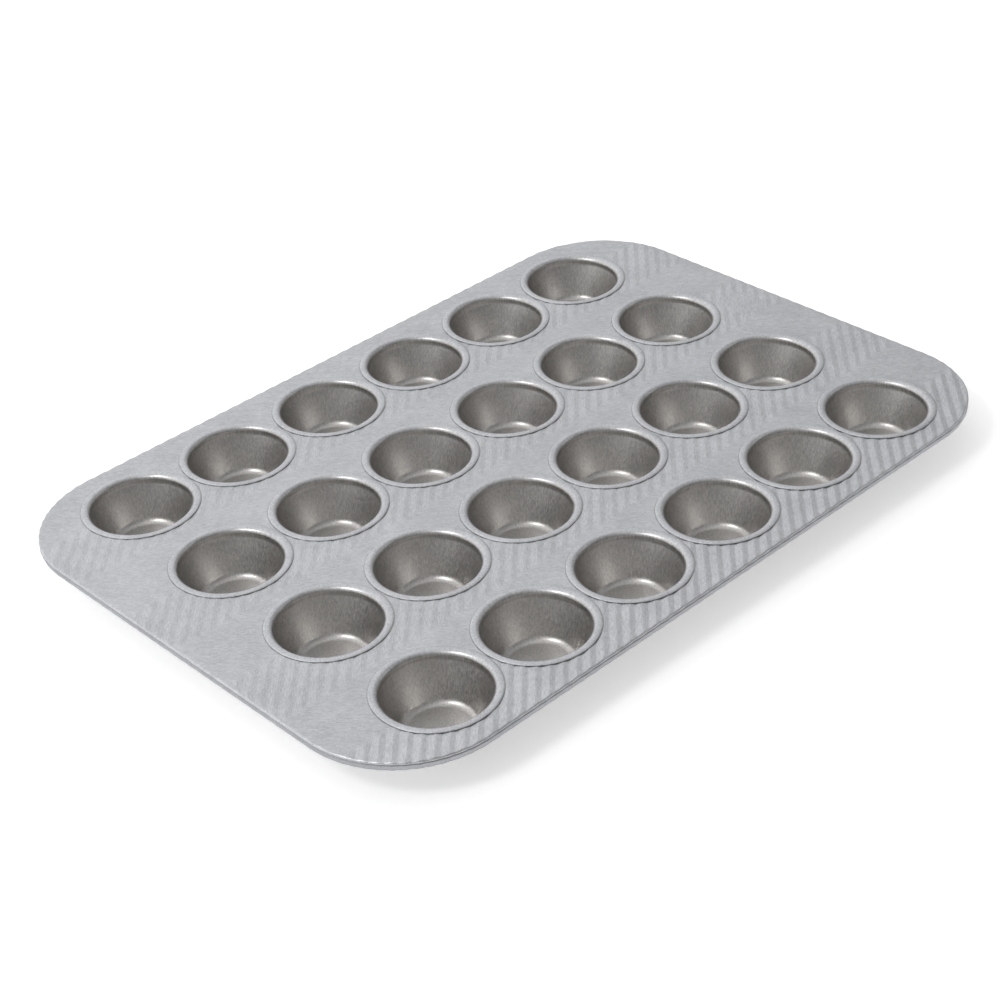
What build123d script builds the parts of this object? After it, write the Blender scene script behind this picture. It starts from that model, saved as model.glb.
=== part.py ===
from build123d import *
import os

# Muffin tin: a ribbed sheet-steel frame with a wired hem, carrying 24 drawn cups.
# Millimetres, +Z up. The origin is on the surface that the pan stands on, under the middle of the tray.
# X runs along the long side (six cups) and Y along the short side (four cups).

# Tray
tray_length = 400.0
tray_width = 282.0
corner_radius = 52.0
overall_height = 22.2
sheet_stock = 0.6

# Wired hem round the tray
bend_radius = 1.0
wire_diameter = 3.2
fit_clearance = 0.05
curl_past_level = 60.0

# Cups
columns = 6
rows = 4
cup_pitch_x = 57.4
cup_pitch_y = 68.7
cup_stock = 0.5
flange_radius = 28.2
mouth_radius = 23.9
lip_radius = 2.4
neck_height = 1.2
neck_blend = 5.0
floor_corner_radius = 16.5
floor_blend = 4.0
collar_height = 0.9

# Levels and radii that follow from them
half_length = tray_length / 2
half_width = tray_width / 2
sheet_top = overall_height - cup_stock
lip_centre_radius = mouth_radius + lip_radius
lip_centre_height = overall_height - lip_radius
neck_bottom = lip_centre_height - neck_height
collar_centre_radius = lip_centre_radius + fit_clearance
collar_inner_blend = lip_radius - cup_stock
collar_outer_blend = collar_inner_blend - sheet_stock
collar_bottom = lip_centre_height - collar_height
bore_radius = wire_diameter / 2 + fit_clearance
bead_radius = bore_radius + sheet_stock
bead_centre_height = sheet_top - sheet_stock - bead_radius


def rim_loop(inset, height):
    """Closed rounded rectangle at a height, inset from the tray's edge, starting midway along the +X side."""
    x = half_length - inset
    y = half_width - inset
    radius = corner_radius - inset
    with BuildLine(Plane.XY.offset(height)) as loop:
        Line((x, 0), (x, y - radius))
        CenterArc((x - radius, y - radius), radius, 0, 90)
        Line((x - radius, y), (radius - x, y))
        CenterArc((radius - x, y - radius), radius, 90, 90)
        Line((-x, y - radius), (-x, radius - y))
        CenterArc((radius - x, radius - y), radius, 180, 90)
        Line((radius - x, -y), (x - radius, -y))
        CenterArc((x - radius, radius - y), radius, 270, 90)
        Line((x, radius - y), (x, 0))
    return loop.wire()


# Collar: the sheet drawn down through each opening, following the underside of the cup's lip.
with BuildPart() as collar:
    with BuildSketch(Plane.XZ):
        with BuildLine():
            Line((flange_radius, sheet_top), (collar_centre_radius, sheet_top))
            CenterArc((collar_centre_radius, lip_centre_height), collar_inner_blend, 90, 90)
            Line(
                (collar_centre_radius - collar_inner_blend, lip_centre_height),
                (collar_centre_radius - collar_inner_blend, collar_bottom),
            )
            Line(
                (collar_centre_radius - collar_inner_blend, collar_bottom),
                (collar_centre_radius - collar_outer_blend, collar_bottom),
            )
            Line(
                (collar_centre_radius - collar_outer_blend, collar_bottom),
                (collar_centre_radius - collar_outer_blend, lip_centre_height),
            )
            CenterArc((collar_centre_radius, lip_centre_height), collar_outer_blend, 180, -90)
            Line((collar_centre_radius, sheet_top - sheet_stock), (flange_radius, sheet_top - sheet_stock))
            Line((flange_radius, sheet_top - sheet_stock), (flange_radius, sheet_top))
        make_face()
    revolve(axis=Axis.Z)

# Frame: one flat sheet with rounded corners, 24 collared openings, and its edge bent down and curled
# inwards round a wire.
with BuildPart() as frame_sheet:
    with BuildSketch(Plane.XY.offset(sheet_top - sheet_stock)):
        RectangleRounded(
            tray_length - 2 * bend_radius,
            tray_width - 2 * bend_radius,
            corner_radius - bend_radius,
        )
        with GridLocations(cup_pitch_x, cup_pitch_y, columns, rows):
            Circle(flange_radius, mode=Mode.SUBTRACT)
    extrude(amount=sheet_stock)
    with GridLocations(cup_pitch_x, cup_pitch_y, columns, rows):
        add(collar.part)
    with BuildSketch(Plane(origin=(half_length, 0, 0), x_dir=(1, 0, 0), z_dir=(0, -1, 0))):
        with BuildLine():
            CenterArc((-bend_radius, sheet_top - bend_radius), bend_radius, 90, -90)
            Line((0, sheet_top - bend_radius), (0, bead_centre_height))
            CenterArc((-bead_radius, bead_centre_height), bead_radius, 0, -180 - curl_past_level)
            tip = Vector(1, 0).rotate(Axis.Z, 180 - curl_past_level)
            Line(
                Vector(-bead_radius, bead_centre_height) + tip * bead_radius,
                Vector(-bead_radius, bead_centre_height) + tip * bore_radius,
            )
            CenterArc(
                (-bead_radius, bead_centre_height), bore_radius, 180 - curl_past_level, 180 + curl_past_level
            )
            Line((-sheet_stock, bead_centre_height), (-sheet_stock, sheet_top - bend_radius))
            CenterArc((-bend_radius, sheet_top - bend_radius), bend_radius - sheet_stock, 0, 90)
            Line((-bend_radius, sheet_top - sheet_stock), (-bend_radius, sheet_top))
        make_face()
    sweep(path=rim_loop(0, sheet_top))
frame_sheet.part.label = "frame_sheet"

# Rim wire: one closed loop of round wire lying inside the hem.
with BuildPart() as rim_wire:
    with BuildSketch(Plane(origin=(half_length, 0, 0), x_dir=(1, 0, 0), z_dir=(0, -1, 0))):
        with Locations((-bead_radius, bead_centre_height)):
            Circle(wire_diameter / 2)
    sweep(path=rim_loop(bead_radius, bead_centre_height))
rim_wire.part.label = "rim_wire"


def make_cup(x, y):
    """One drawn cup: flat flange on the sheet, rolled lip, short neck, tapered wall and flat floor."""
    with BuildPart() as cup:
        with BuildSketch(Plane(origin=(x, y, 0), x_dir=(1, 0, 0), z_dir=(0, -1, 0))):
            with BuildLine():
                FilletPolyline(
                    (0, cup_stock),
                    (floor_corner_radius, cup_stock),
                    (mouth_radius, neck_bottom),
                    (mouth_radius, overall_height),
                    (flange_radius, overall_height),
                    radius=[floor_blend, neck_blend, lip_radius],
                )
                offset(amount=cup_stock, side=Side.RIGHT)
            make_face()
        revolve(axis=Axis((x, y, 0), (0, 0, 1)))
    return cup


os.makedirs("parts", exist_ok=True)
export_step(frame_sheet.part, "parts/frame_sheet.step")
export_step(rim_wire.part, "parts/rim_wire.step")
for row in range(rows):
    for column in range(columns):
        cup = make_cup(
            (column - (columns - 1) / 2) * cup_pitch_x,
            (row - (rows - 1) / 2) * cup_pitch_y,
        )
        cup.part.label = f"cup_r{row + 1}_c{column + 1}"
        export_step(cup.part, f"parts/{cup.part.label}.step")
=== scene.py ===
import math

import bpy
from mathutils import Matrix, Vector


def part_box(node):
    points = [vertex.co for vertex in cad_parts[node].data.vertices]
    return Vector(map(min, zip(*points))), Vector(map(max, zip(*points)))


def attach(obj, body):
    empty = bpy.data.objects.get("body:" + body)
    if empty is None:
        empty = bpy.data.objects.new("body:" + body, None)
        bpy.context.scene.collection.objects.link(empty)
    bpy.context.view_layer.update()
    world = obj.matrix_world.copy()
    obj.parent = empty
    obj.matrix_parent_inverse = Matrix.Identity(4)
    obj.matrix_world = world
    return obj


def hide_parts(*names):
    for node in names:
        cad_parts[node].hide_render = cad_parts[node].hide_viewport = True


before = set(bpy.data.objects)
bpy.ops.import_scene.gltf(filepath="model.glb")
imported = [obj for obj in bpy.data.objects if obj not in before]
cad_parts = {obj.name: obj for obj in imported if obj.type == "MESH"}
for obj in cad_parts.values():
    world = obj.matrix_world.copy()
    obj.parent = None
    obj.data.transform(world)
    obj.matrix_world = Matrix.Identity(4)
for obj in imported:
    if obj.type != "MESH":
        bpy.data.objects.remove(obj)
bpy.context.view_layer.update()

# A muffin tin, built as a ribbed steel sheet with a wired hem and 24 separate drawn cups set in it.
# Shapes are worked out in millimetres and turned into metres as each mesh is made.
# X runs along the tray's long side and Y along its short side, as in the CAD model.

MM = 0.001


def box_mm(node):
    """Lowest and highest corners of a CAD node, in millimetres."""
    low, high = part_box(node)
    return low / MM, high / MM


# Tray, from the CAD model
sheet_low, sheet_high = box_mm("frame_sheet")
half_length = (sheet_high.x - sheet_low.x) / 2
half_width = (sheet_high.y - sheet_low.y) / 2
sheet_top = sheet_high.z
corner_radius = 52.0
sheet_stock = 0.6

# Hem, and the crease pressed in just under its bend
bend_radius = 1.0
bead_radius = 2.25
bore_radius = 1.65
curl_past_level = 60
crease_depth = 0.3
crease_height = 0.9

# Cups, from the CAD model
columns = 6
rows = 4
cup_names = sorted(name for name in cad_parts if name.startswith("cup_"))
cup_low, cup_high = box_mm("cup_r1_c1")
last_low, last_high = box_mm(f"cup_r{rows}_c{columns}")
cup_top = cup_high.z
flange_radius = (cup_high.x - cup_low.x) / 2
first_cup = (cup_low + cup_high) / 2
last_cup = (last_low + last_high) / 2
pitch_x = (last_cup.x - first_cup.x) / (columns - 1)
pitch_y = (last_cup.y - first_cup.y) / (rows - 1)
cup_stock = 0.5
cup_sides = 96
mouth_radius = 23.9
lip_radius = 2.4
neck_height = 1.2
neck_blend = 5.0
floor_corner_radius = 16.5
floor_blend = 4.0
bevel_width = 0.55
bevel_drop = 0.26

# Collars: the sheet turned down into each opening
fit_clearance = 0.05
collar_radius = mouth_radius + lip_radius + fit_clearance
collar_height = 0.9

# Pressed ribs: a herringbone of bands across the tray, each leaning at 45 degrees
band_count = 8
rib_pitch = 7.94
rib_band = 4.5 * rib_pitch
rib_start = -3.42
rib_rise = 0.56
rib_rounding = 0.08
rib_depth = 0.38
inner_rib_share = 0.6
outer_ribs_from = 92.0
outer_ribs_to = 116.0
rows_per_band = 25
rib_fade = 1.3
hem_rib_fade_degrees = 150

# A plain smooth pad pressed flat among the ribs, at one short end
pad_x = 180.0
pad_y = 1.0
pad_straight = 38.0
pad_radius = 7.0
pad_fade = 3.0

# The net that the sheet is made of, and how much of the ribs' depth is left at the foot of the hem's bend
cell_margin = 0.1
bend_share = 0.6
hem_step = 0.45
collar_step = 1.0


# ---------------------------------------------------------------- ribbed sheet

def rib_run(y):
    """How far along X the ribs have run at y. They lean one way and then the other, band by band."""
    bands = y / rib_band + band_count / 2
    band = min(max(math.floor(bands), 0), band_count - 1)
    climbed = bands - band
    return rib_band * (climbed if band % 2 == 0 else 1 - climbed)


def rib_drop(x, y):
    """How far the pressed surface lies under its crests: straight slopes, one longer than the other.

    The ribs are made deeper along the tray's long sides than between the cups."""
    outer = min(max((abs(y) - outer_ribs_from) / (outer_ribs_to - outer_ribs_from), 0), 1)
    depth = rib_depth * (inner_rib_share + (1 - inner_rib_share) * outer)
    phase = ((x - rib_run(y) - rib_start) / rib_pitch) % 1
    if phase < rib_rise:
        return depth * (1 - phase / rib_rise)
    return depth * (phase - rib_rise) / (1 - rib_rise)


def nearest_cup(x, y):
    """Centre of the cup nearest to a place on the sheet."""
    column = min(max(round((x - first_cup.x) / pitch_x), 0), columns - 1)
    row = min(max(round((y - first_cup.y) / pitch_y), 0), rows - 1)
    return first_cup.x + column * pitch_x, first_cup.y + row * pitch_y


def past_bend_line(x, y):
    """Signed distance outside the line where the sheet starts to bend down."""
    beyond_x = abs(x) - (half_length - corner_radius)
    beyond_y = abs(y) - (half_width - corner_radius)
    outside = math.hypot(max(beyond_x, 0), max(beyond_y, 0))
    return outside + min(max(beyond_x, beyond_y), 0) - (corner_radius - bend_radius)


def past_hole_line(x, y):
    """Signed distance into an opening, inside the line where the sheet starts to turn down."""
    centre_x, centre_y = nearest_cup(x, y)
    return collar_radius - math.hypot(x - centre_x, y - centre_y)


def rib_share(x, y):
    """1 on the open sheet, falling to 0 under the cups' flanges and in the smooth pad at one end."""
    centre_x, centre_y = nearest_cup(x, y)
    beyond = math.hypot(x - centre_x, y - centre_y) - (flange_radius - rib_fade)
    along = max(abs(y - pad_y) - pad_straight / 2, 0)
    off_pad = math.hypot(x - pad_x, along) - pad_radius
    return min(max(beyond / rib_fade, 0), max(off_pad / pad_fade, 0), 1)


def outline_at(x, y):
    """Nearest point on the sheet's edge lines, and the direction in plan that leaves the sheet there."""
    past_bend = past_bend_line(x, y)
    past_hole = past_hole_line(x, y)
    if past_bend > past_hole:
        beyond = Vector((
            math.copysign(max(abs(x) - (half_length - corner_radius), 0), x),
            math.copysign(max(abs(y) - (half_width - corner_radius), 0), y),
        ))
        out = beyond.normalized()
        return Vector((x, y)) - out * past_bend, out
    centre = Vector(nearest_cup(x, y))
    out = (centre - Vector((x, y))).normalized()
    return centre - out * collar_radius, out


def sheet_cells():
    """The sheet's flat part as a net that follows the ribs: plan points, and faces between them."""
    slopes = (rib_rounding, rib_rise / 2, rib_rise - rib_rounding, rib_rise, rib_rise + rib_rounding)
    steps = (0, *slopes, (1 + rib_rise) / 2, 1 - rib_rounding)
    first = math.floor((-half_length - rib_band) / rib_pitch) - 1
    last = math.ceil(half_length / rib_pitch) + 1
    stations = [rib_start + rib_pitch * (k + step) for k in range(first, last) for step in steps]
    half_rows = band_count * rows_per_band // 2
    levels = [rib_band * k / rows_per_band for k in range(-half_rows, half_rows + 1)]
    index = {}
    plan = []
    faces = []

    def point(i, j):
        if (i, j) not in index:
            index[i, j] = len(plan)
            plan.append((stations[i] + rib_run(levels[j]), levels[j]))
        return index[i, j]

    for i in range(len(stations) - 1):
        for j in range(len(levels) - 1):
            x = (stations[i] + stations[i + 1] + rib_run(levels[j]) + rib_run(levels[j + 1])) / 2
            y = (levels[j] + levels[j + 1]) / 2
            if past_bend_line(x, y) < -cell_margin and past_hole_line(x, y) < -cell_margin:
                faces.append((point(i, j), point(i + 1, j), point(i + 1, j + 1), point(i, j + 1)))
    return plan, faces


def edge_loops(faces):
    """The loops of points round the edges of a net of faces, each with the faces on its left."""
    sides = {(a, b) for face in faces for a, b in zip(face, face[1:] + face[:1])}
    following = {a: b for a, b in sides if (b, a) not in sides}
    loops = []
    while following:
        loop = [min(following)]
        while loop[-1] in following:
            loop.append(following.pop(loop[-1]))
        loops.append(loop[:-1])
    return loops


def fit_to_outline(plan, faces):
    """Moves the net's ragged edges onto the true edge lines, joining points that would bunch up there."""
    same = {}
    rims = []
    for loop in edge_loops(faces):
        shortest_step = hem_step if past_bend_line(*plan[loop[0]]) > -rib_band / 2 else collar_step
        rim = []
        for point in loop:
            place, out = outline_at(*plan[point])
            onward = Vector((-out.y, out.x))
            if rim and (place - rim[-1][1]).dot(onward) < shortest_step:
                same[point] = rim[-1][0]
            else:
                rim.append((point, place, out))
                plan[point] = tuple(place)
        rims.append(rim)
    fitted = []
    for face in faces:
        corners = tuple(dict.fromkeys(same.get(point, point) for point in face))
        if len(corners) > 2:
            fitted.append(corners)
    return fitted, rims


def hem_section():
    """The hem from the sheet's top face round the bead and back to its underside.

    Each step is the distance out from the bend line, the height, the surface direction (out, up),
    the distance unfolded from the bend line and the share of the ribs' depth that is left there."""
    steps = []
    bend_height = sheet_top - bend_radius
    bead_height = sheet_top - sheet_stock - bead_radius
    bead_out = bend_radius - bead_radius
    for degrees in range(75, -1, -15):
        turn = math.radians(degrees)
        unfolded = bend_radius * (math.pi / 2 - turn)
        out = math.cos(turn)
        up = math.sin(turn)
        left = bend_share + (1 - bend_share) * degrees / 90
        steps.append((bend_radius * out, bend_height + bend_radius * up, out, up, unfolded, left))
    quarter = bend_radius * math.pi / 2
    for k in range(1, 7):
        dip = crease_depth * math.sin(math.pi * k / 6) ** 2
        down = crease_height * k / 6
        steps.append((bend_radius - dip, bend_height - down, 1, 0, quarter + down, bend_share))
    straight = quarter + bend_height - bead_height
    for degrees in range(0, -180 - curl_past_level - 1, -15):
        turn = math.radians(degrees)
        out = math.cos(turn)
        up = math.sin(turn)
        left = bend_share * max(1 + degrees / hem_rib_fade_degrees, 0)
        unfolded = straight - bead_radius * turn
        steps.append((bead_out + bead_radius * out, bead_height + bead_radius * up, out, up, unfolded, left))
    for degrees in range(-180 - curl_past_level, 1, 30):
        turn = math.radians(degrees)
        out = bead_out + bore_radius * math.cos(turn)
        steps.append((out, bead_height + bore_radius * math.sin(turn), 0, 0, 0, 0))
    inner_bend = bend_radius - sheet_stock
    for degrees in (0, 45):
        turn = math.radians(degrees)
        steps.append((inner_bend * math.cos(turn), bend_height + inner_bend * math.sin(turn), 0, 0, 0, 0))
    return steps


def collar_section():
    """The collar from the sheet's top face down into an opening and back up to its underside."""
    steps = []
    outer = lip_radius - cup_stock
    inner = outer - sheet_stock
    arc_height = sheet_top - outer
    for degrees in (18, 36, 54, 72, 90):
        turn = math.radians(degrees)
        steps.append((outer * math.sin(turn), arc_height + outer * math.cos(turn), 0, 0, 0, 0))
    steps.append((outer, arc_height - collar_height, 0, 0, 0, 0))
    steps.append((inner, arc_height - collar_height, 0, 0, 0, 0))
    for degrees in (90, 60, 30):
        turn = math.radians(degrees)
        steps.append((inner * math.sin(turn), arc_height + inner * math.cos(turn), 0, 0, 0, 0))
    return steps


def make_sheet():
    """Points and faces of the whole ribbed sheet, its collars and its hem, as one closed shell."""
    plan, cells = sheet_cells()
    cells, rims = fit_to_outline(plan, cells)
    points = []
    for x, y in plan:
        points.append((x, y, sheet_top - rib_drop(x, y) * rib_share(x, y)))
    under = len(points)
    points += [(x, y, z - sheet_stock) for x, y, z in points]
    faces = list(cells)
    faces += [tuple(point + under for point in reversed(face)) for face in cells]
    hem = hem_section()
    collar = collar_section()
    for rim in rims:
        is_hem = past_bend_line(*rim[0][1]) > -bend_radius
        ring = [point for point, place, out in rim]
        for offset, height, out_share, up_share, unfolded, ribs in (hem if is_hem else collar):
            lower = []
            for point, place, out in rim:
                phase_place = place + out * unfolded
                drop = rib_drop(*phase_place) * ribs if ribs else 0
                spot = place + out * (offset - out_share * drop)
                lower.append(len(points))
                points.append((spot.x, spot.y, height - up_share * drop))
            faces += join_rings(ring, lower)
            ring = lower
        faces += join_rings(ring, [point + under for point, place, out in rim])
    return points, faces


def join_rings(upper, lower):
    """Faces between two rings of as many points, facing away from the sheet."""
    count = len(upper)
    return [
        (upper[(k + 1) % count], upper[k], lower[k], lower[(k + 1) % count])
        for k in range(count)
    ]


# ---------------------------------------------------------------- cups

def rounded_path(corners, radii, step_degrees=10):
    """Points of a path with its inner corners rounded, each with the direction to its right-hand side."""
    path = []
    for k, corner in enumerate(corners):
        here = Vector(corner)
        if k == 0 or k == len(corners) - 1:
            along = (Vector(corners[1]) - here) if k == 0 else (here - Vector(corners[-2]))
            along.normalize()
            path.append((here, Vector((along.y, -along.x))))
            continue
        before = (here - Vector(corners[k - 1])).normalized()
        after = (Vector(corners[k + 1]) - here).normalized()
        turn = math.atan2(before.x * after.y - before.y * after.x, before.dot(after))
        radius = radii[k - 1]
        side = math.copysign(1, turn)
        start = here - before * radius * math.tan(abs(turn) / 2)
        centre = start + Vector((-before.y, before.x)) * side * radius
        steps = max(math.ceil(math.degrees(abs(turn)) / step_degrees), 2)
        for step in range(steps + 1):
            spin = Matrix.Rotation(turn * step / steps, 2)
            right = spin @ Vector((before.y, -before.x))
            path.append((centre + right * side * radius, right))
    return path


def cup_section():
    """Closed section of a cup from its axis: inner face up to the flange's edge, then the outer face back."""
    neck_bottom = cup_top - lip_radius - neck_height
    inner = rounded_path(
        [
            (0, cup_stock),
            (floor_corner_radius, cup_stock),
            (mouth_radius, neck_bottom),
            (mouth_radius, cup_top),
            (flange_radius - bevel_width, cup_top),
        ],
        [floor_blend, neck_blend, lip_radius],
    )
    outer = [place + right * cup_stock for place, right in inner]
    section = [place for place, right in inner]
    # the flange's edge slopes down gently, eased in and out
    for share in (0.12, 0.88, 1):
        section.append(Vector((
            flange_radius - bevel_width * (1 - share), cup_top - bevel_drop * max(share - 0.04, 0),
        )))
    section.append(Vector((flange_radius, cup_top - cup_stock)))
    section += reversed(outer)
    return section


def make_cup(centre_x, centre_y, sides=cup_sides):
    """Points and faces of one cup, its section turned about its own axis."""
    section = cup_section()
    points = []
    rings = []
    for place in section:
        if place.x < 0.001:
            rings.append([len(points)] * sides)
            points.append((centre_x, centre_y, place.y))
            continue
        rings.append(list(range(len(points), len(points) + sides)))
        for k in range(sides):
            turn = 2 * math.pi * k / sides
            points.append((
                centre_x + place.x * math.cos(turn), centre_y + place.x * math.sin(turn), place.y,
            ))
    faces = []
    for lower, upper in zip(rings, rings[1:]):
        for k in range(sides):
            near = (k + 1) % sides
            face = (upper[k], upper[near], lower[near], lower[k])
            faces.append(tuple(dict.fromkeys(face)))
    return points, faces


def add_mesh(name, points, faces, material):
    """A smooth-shaded mesh object, its points turned from millimetres into metres."""
    used = sorted({point for face in faces for point in face})
    new_index = {point: k for k, point in enumerate(used)}
    mesh = bpy.data.meshes.new(name)
    mesh.from_pydata(
        [Vector(points[point]) * MM for point in used],
        [],
        [[new_index[point] for point in face] for face in faces],
    )
    mesh.polygons.foreach_set("use_smooth", [True] * len(mesh.polygons))
    mesh.materials.append(material)
    mesh.update()
    piece = bpy.data.objects.new(name, mesh)
    bpy.context.scene.collection.objects.link(piece)
    return piece


# ---------------------------------------------------------------- materials

# Painted shade: a thin dark ring just outside each cup's flange and a dark line along the hem's crease, both
# in the line tone below. The nick tone is the steel's own small nicks.
seam_shade_reach = 0.5
nick_tone = (0.12, 0.12, 0.13)
painted_shade_tone = (0.34, 0.34, 0.35)
# Below the top face the tones are multiplied by a drawn tone: a warm tint on the cups, and painted shade on
# the tray's bent hem and collars and partly on its underside.
drawn_tint_and_shade_from = 0.1
drawn_tint_and_shade_full = 1.4


def node(tree, kind, inputs=None, **settings):
    """A shader node with its settings and its plain input values."""
    made = tree.nodes.new(kind)
    for name, value in settings.items():
        setattr(made, name, value)
    for name, value in (inputs or {}).items():
        made.inputs[name].default_value = value
    return made


def ramp(tree, source, stops):
    """A colour ramp on a value: stops are (place, grey or colour)."""
    made = tree.nodes.new("ShaderNodeValToRGB")
    elements = made.color_ramp.elements
    while len(elements) < len(stops):
        elements.new(0.5)
    for element, (place, tone) in zip(elements, stops):
        element.position = place
        element.color = (*tone, 1) if isinstance(tone, tuple) else (tone, tone, tone, 1)
    tree.links.new(source, made.inputs["Fac"])
    return made.outputs["Color"]


def math_node(tree, operation, first, second=0.0):
    """A two-value maths node; each value is a number or another node's output."""
    made = node(tree, "ShaderNodeMath", operation=operation)
    for socket, value in zip(made.inputs, (first, second)):
        if isinstance(value, (int, float)):
            socket.default_value = value
        else:
            tree.links.new(value, socket)
    return made.outputs["Value"]


def along_ribs(tree, where):
    """Coordinates across and along the ribs, folded band by band as the ribs are."""
    place = node(tree, "ShaderNodeSeparateXYZ")
    tree.links.new(where, place.inputs["Vector"])
    from_edge = math_node(tree, "ADD", place.outputs["Y"], band_count / 2 * rib_band * MM)
    run = math_node(tree, "PINGPONG", from_edge, rib_band * MM)
    folded = node(tree, "ShaderNodeCombineXYZ")
    tree.links.new(math_node(tree, "SUBTRACT", place.outputs["X"], run), folded.inputs["X"])
    tree.links.new(math_node(tree, "ADD", place.outputs["X"], run), folded.inputs["Y"])
    tree.links.new(place.outputs["Z"], folded.inputs["Z"])
    return folded.outputs["Vector"]


def seam_shade_share(tree, where):
    """Where to paint shade: 1 in a thin ring just outside each cup's flange and 0 elsewhere, worked out from
    the grid of cups.
    """
    place = node(tree, "ShaderNodeSeparateXYZ")
    tree.links.new(where, place.inputs["Vector"])
    offset = node(tree, "ShaderNodeCombineXYZ")
    for axis, pitch in (("X", pitch_x), ("Y", pitch_y)):
        fold = math_node(tree, "PINGPONG", place.outputs[axis], pitch / 2 * MM)
        tree.links.new(math_node(tree, "SUBTRACT", pitch / 2 * MM, fold), offset.inputs[axis])
    distance = node(tree, "ShaderNodeVectorMath", operation="LENGTH")
    tree.links.new(offset.outputs["Vector"], distance.inputs[0])
    across = node(tree, "ShaderNodeMapRange")
    tree.links.new(distance.outputs["Value"], across.inputs["Value"])
    across.inputs["From Min"].default_value = (flange_radius - seam_shade_reach) * MM
    across.inputs["From Max"].default_value = (flange_radius + seam_shade_reach) * MM
    # painted shade: a thin dark ring just outside the flange's edge, where the crevice falls into shade
    line = ramp(tree, across.outputs["Result"], [(0.56, 0.0), (0.64, 1.0), (0.76, 1.0), (0.88, 0.0)])
    return math_node(tree, "MULTIPLY", line, among_cups(tree, place))


def among_cups(tree, place):
    """1 within the rectangle that holds the cups and 0 round the tray's edge."""
    side = math_node(tree, "ABSOLUTE", place.outputs["X"])
    front = math_node(tree, "ABSOLUTE", place.outputs["Y"])
    within_length = math_node(tree, "LESS_THAN", side, (last_cup.x + pitch_x / 2) * MM)
    within_width = math_node(tree, "LESS_THAN", front, (last_cup.y + flange_radius + 1) * MM)
    return math_node(tree, "MULTIPLY", within_length, within_width)


def crease_shade_share(tree, where):
    """Where to paint shade: 1 along the crease under the hem's bend and 0 elsewhere."""
    place = node(tree, "ShaderNodeSeparateXYZ")
    tree.links.new(where, place.inputs["Vector"])
    down = node(tree, "ShaderNodeMapRange")
    tree.links.new(place.outputs["Z"], down.inputs["Value"])
    down.inputs["From Min"].default_value = (sheet_top - bend_radius) * MM
    down.inputs["From Max"].default_value = (sheet_top - bend_radius - crease_height) * MM
    # painted shade: a dark line in the crease, where shade falls
    line = ramp(tree, down.outputs["Result"], [(0.1, 0.0), (0.35, 1.0), (0.65, 1.0), (0.9, 0.0)])
    at_edge = math_node(tree, "SUBTRACT", 1.0, among_cups(tree, place))
    return math_node(tree, "MULTIPLY", line, at_edge)


def darkened(tree, colour, share, tone):
    """A colour replaced by a darker tone where the share is 1."""
    mixed = node(tree, "ShaderNodeMix", data_type="RGBA")
    tree.links.new(share, mixed.inputs["Factor"])
    tree.links.new(colour, mixed.inputs["A"])
    mixed.inputs["B"].default_value = (*tone, 1)
    return mixed.outputs["Result"]


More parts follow.
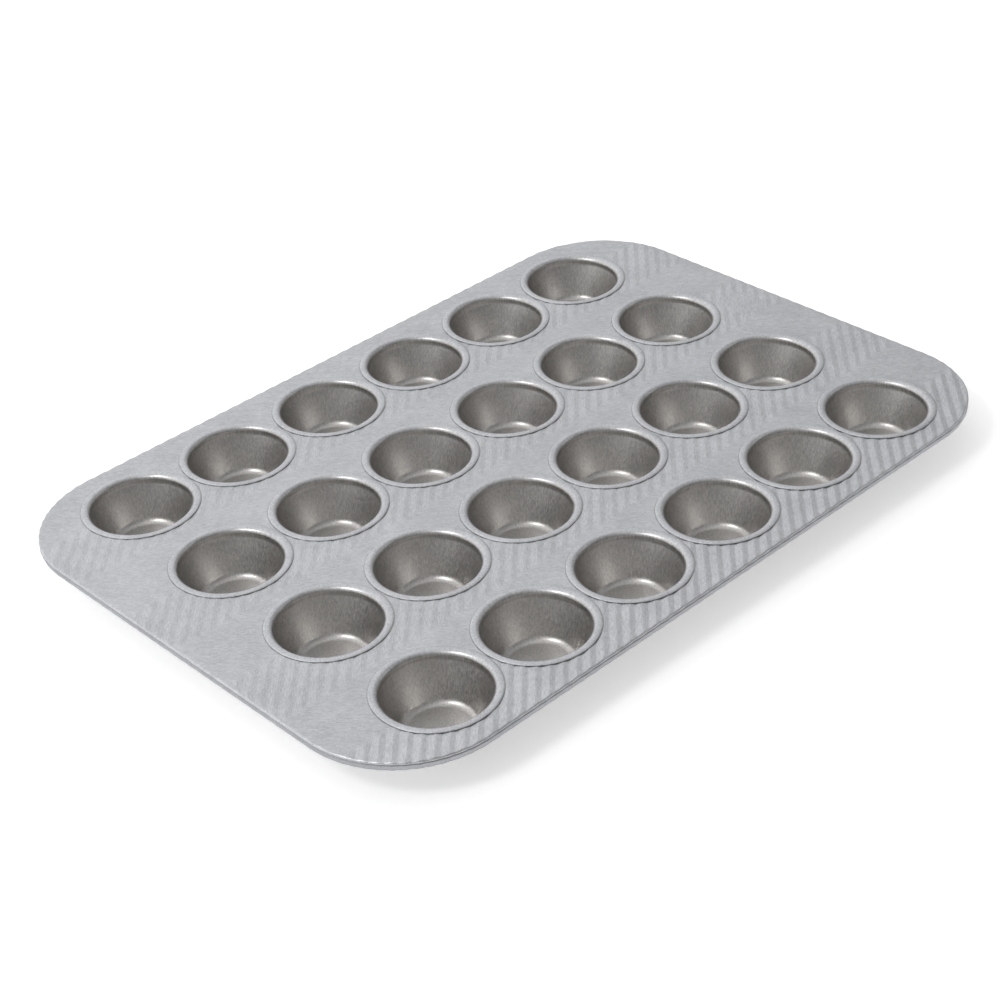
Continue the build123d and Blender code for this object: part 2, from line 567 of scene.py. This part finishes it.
def steel(name, grain, roughness, relief, speck_share, top, drawn, painted_shade_lines, follows_ribs=False):
    """Satin steel: two close tones, fine drawn streaks, soft mottling, fine grain and a few small nicks.

    Below its top face the steel was bent or drawn: there its tones are multiplied by the drawn tone, a warm
    tint on the cups and painted shade on the tray's bent hem and collars. Painted shade lines darken where
    two surfaces meet and shade falls: round each flange and along the hem's crease."""
    material = bpy.data.materials.new(name)
    material.use_nodes = True
    tree = material.node_tree
    link = tree.links.new
    shader = tree.nodes["Principled BSDF"]
    shader.inputs["Metallic"].default_value = 1.0
    where = node(tree, "ShaderNodeTexCoord").outputs["Object"]

    stretched = node(tree, "ShaderNodeMapping")
    stretched.inputs["Scale"].default_value = grain
    link(along_ribs(tree, where) if follows_ribs else where, stretched.inputs["Vector"])
    streaks = node(tree, "ShaderNodeTexNoise", {"Scale": 1.0, "Detail": 3.0, "Roughness": 0.6})
    link(stretched.outputs["Vector"], streaks.inputs["Vector"])
    mottle = node(tree, "ShaderNodeTexNoise", {"Scale": 70.0, "Detail": 4.0, "Roughness": 0.6})
    link(where, mottle.inputs["Vector"])
    fine = node(tree, "ShaderNodeTexNoise", {"Scale": 1100.0, "Detail": 2.0, "Roughness": 0.7})
    link(where, fine.inputs["Vector"])

    patches = math_node(tree, "MULTIPLY", mottle.outputs["Fac"], 0.5)
    drawn_lines = math_node(tree, "MULTIPLY", streaks.outputs["Fac"], 1.4)
    grains = math_node(tree, "MULTIPLY", fine.outputs["Fac"], 0.6)
    texture = math_node(tree, "ADD", drawn_lines, grains)
    tone = math_node(tree, "ADD", texture, patches)
    tones = [(0.36, (0.43, 0.437, 0.458)), (0.64, (0.69, 0.697, 0.718))]
    colour = ramp(tree, math_node(tree, "MULTIPLY", tone, 0.4), tones)

    # drawn tone below the top face: warm tint on the cups, painted shade on the tray's hem and collars
    height = node(tree, "ShaderNodeSeparateXYZ")
    link(where, height.inputs["Vector"])
    level = node(tree, "ShaderNodeMapRange")
    link(height.outputs["Z"], level.inputs["Value"])
    level.inputs["From Min"].default_value = (top - drawn_tint_and_shade_full) * MM
    level.inputs["From Max"].default_value = (top - drawn_tint_and_shade_from) * MM
    share = node(tree, "ShaderNodeMix", data_type="RGBA")
    link(level.outputs["Result"], share.inputs["Factor"])
    share.inputs["A"].default_value = (*drawn, 1)
    share.inputs["B"].default_value = (1, 1, 1, 1)
    product = node(tree, "ShaderNodeVectorMath", operation="MULTIPLY")
    link(colour, product.inputs[0])
    link(share.outputs["Result"], product.inputs[1])
    colour = product.outputs["Vector"]

    nicks = node(tree, "ShaderNodeTexVoronoi", {"Scale": 26.0, "Randomness": 1.0})
    link(where, nicks.inputs["Vector"])
    spot = ramp(tree, nicks.outputs["Distance"], [(0.0, 1.0), (0.018, 0.0)])
    chosen = node(tree, "ShaderNodeSeparateColor")
    link(nicks.outputs["Color"], chosen.inputs["Color"])
    picked = math_node(tree, "LESS_THAN", chosen.outputs["Red"], speck_share)
    colour = darkened(tree, colour, math_node(tree, "MULTIPLY", spot, picked), nick_tone)
    # painted shade lines, darker where shade falls between surfaces
    for shade_line_share in painted_shade_lines:
        colour = darkened(tree, colour, shade_line_share(tree, where), painted_shade_tone)
    link(colour, shader.inputs["Base Color"])

    rough = node(tree, "ShaderNodeMapRange")
    link(streaks.outputs["Fac"], rough.inputs["Value"])
    rough.inputs["From Min"].default_value = 0.3
    rough.inputs["From Max"].default_value = 0.7
    rough.inputs["To Min"].default_value = roughness - 0.05
    rough.inputs["To Max"].default_value = roughness + 0.05
    link(rough.outputs["Result"], shader.inputs["Roughness"])

    bump = node(tree, "ShaderNodeBump", {"Strength": relief, "Distance": 0.00005})
    link(texture, bump.inputs["Height"])
    link(bump.outputs["Normal"], shader.inputs["Normal"])
    return material


# Tray steel: painted shade round the flanges and in the hem's crease, and its drawn tone paints shade over
# the bent hem and collars.
frame_steel = steel(
    "frame_steel", (2000.0, 220.0, 2000.0), 0.42, 0.9, 0.08,
    top=sheet_top - rib_depth, drawn=(0.68, 0.68, 0.69), painted_shade_lines=(seam_shade_share, crease_shade_share),
    follows_ribs=True,
)
# Cup steel: its drawn tone is a warm tint of the drawn steel below the top face.
cup_steel = steel(
    "cup_steel", (1400.0, 1400.0, 160.0), 0.37, 0.7, 0.03,
    top=cup_top, drawn=(0.92, 0.885, 0.83), painted_shade_lines=(seam_shade_share,),
)
wire_steel = steel(
    "wire_steel", (1800.0, 1800.0, 1800.0), 0.4, 0.3, 0.05,
    top=sheet_top, drawn=(0.7, 0.69, 0.66), painted_shade_lines=(),
)


# ---------------------------------------------------------------- the pieces

sheet = add_mesh("ribbed_frame", *make_sheet(), frame_steel)
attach(sheet, "root")
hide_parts("frame_sheet")

for name in cup_names:
    low, high = box_mm(name)
    centre = (low + high) / 2
    cup = add_mesh(name.replace("cup_", "drawn_cup_"), *make_cup(centre.x, centre.y), cup_steel)
    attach(cup, "root")
    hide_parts(name)

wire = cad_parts["rim_wire"]
for material_slot in wire.material_slots:
    material_slot.material = wire_steel


# ---------------------------------------------------------------- floor, light and camera

def direction(azimuth, elevation):
    """Unit vector towards a place in the sky, in degrees round from +X and up from level."""
    turn = math.radians(azimuth)
    rise = math.radians(elevation)
    return Vector((math.cos(turn) * math.cos(rise), math.sin(turn) * math.cos(rise), math.sin(rise)))


def soft_light(name, azimuth, elevation, distance, size, watts):
    """A square area light looking at the tray."""
    lamp = bpy.data.lights.new(name, "AREA")
    lamp.shape = "SQUARE"
    lamp.size = size
    lamp.energy = watts
    holder = bpy.data.objects.new(name, lamp)
    towards = direction(azimuth, elevation)
    holder.location = towards * distance
    holder.rotation_euler = towards.to_track_quat("Z", "Y").to_euler()
    bpy.context.scene.collection.objects.link(holder)


floor_half = 8.0
floor_mesh = bpy.data.meshes.new("floor")
floor_mesh.from_pydata(
    [(-floor_half, -floor_half, 0), (floor_half, -floor_half, 0), (floor_half, floor_half, 0),
     (-floor_half, floor_half, 0)],
    [],
    [(0, 1, 2, 3)],
)
floor = bpy.data.objects.new("floor", floor_mesh)
bpy.context.scene.collection.objects.link(floor)
floor_paint = bpy.data.materials.new("floor_paint")
floor_paint.use_nodes = True
paint = floor_paint.node_tree.nodes["Principled BSDF"]
paint.inputs["Base Color"].default_value = (0.9, 0.9, 0.9, 1)
paint.inputs["Roughness"].default_value = 0.9
paint.inputs["Specular IOR Level"].default_value = 0.0
paint.inputs["Emission Color"].default_value = (1, 1, 1, 1)
paint.inputs["Emission Strength"].default_value = 0.42
floor_mesh.materials.append(floor_paint)

soft_light("key_light", 174, 50, 2.2, 0.45, 9)
soft_light("side_light", -33, 33, 2.4, 0.5, 1.2)

# Sky: a soft studio, brightest high up behind the tray on the key light's side
world = bpy.data.worlds.new("studio")
bpy.context.scene.world = world
world.use_nodes = True
sky = world.node_tree
sky_side = node(sky, "ShaderNodeVectorMath", operation="DOT_PRODUCT")
sky.links.new(node(sky, "ShaderNodeTexCoord").outputs["Generated"], sky_side.inputs[0])
sky_side.inputs[1].default_value = direction(112, 22)
sky_half = math_node(sky, "MULTIPLY", sky_side.outputs["Value"], 0.5)
sky_share = math_node(sky, "ADD", sky_half, 0.5)
sky_tone = ramp(sky, sky_share, [(0.0, 0.15), (0.3, 0.3), (0.6, 0.58), (0.78, 0.92), (1.0, 1.12)])
sky.links.new(sky_tone, sky.nodes["Background"].inputs["Color"])
sky.nodes["Background"].inputs["Strength"].default_value = 1.0

# Camera
aim = Vector((-0.0307, -0.0226, 0.0217))
camera_distance = 0.989
camera_heading = math.radians(48.92)
camera_fall = math.radians(33.65)
camera_roll = math.radians(-4.64)
forward = Vector((
    math.cos(camera_heading) * math.cos(camera_fall),
    math.sin(camera_heading) * math.cos(camera_fall),
    -math.sin(camera_fall),
))
level_right = Vector((math.sin(camera_heading), -math.cos(camera_heading), 0))
level_up = level_right.cross(forward)
right = level_right * math.cos(camera_roll) + level_up * math.sin(camera_roll)
up = level_up * math.cos(camera_roll) - level_right * math.sin(camera_roll)
lens = bpy.data.cameras.new("camera")
lens.lens = 77.41
lens.sensor_width = 36.0
lens.clip_start = 0.01
camera = bpy.data.objects.new("camera", lens)
pose = Matrix((right, up, -forward)).transposed().to_4x4()
pose.translation = aim - forward * camera_distance
camera.matrix_world = pose
bpy.context.scene.collection.objects.link(camera)
bpy.context.scene.camera = camera
bpy.context.scene.view_settings.view_transform = "Standard"
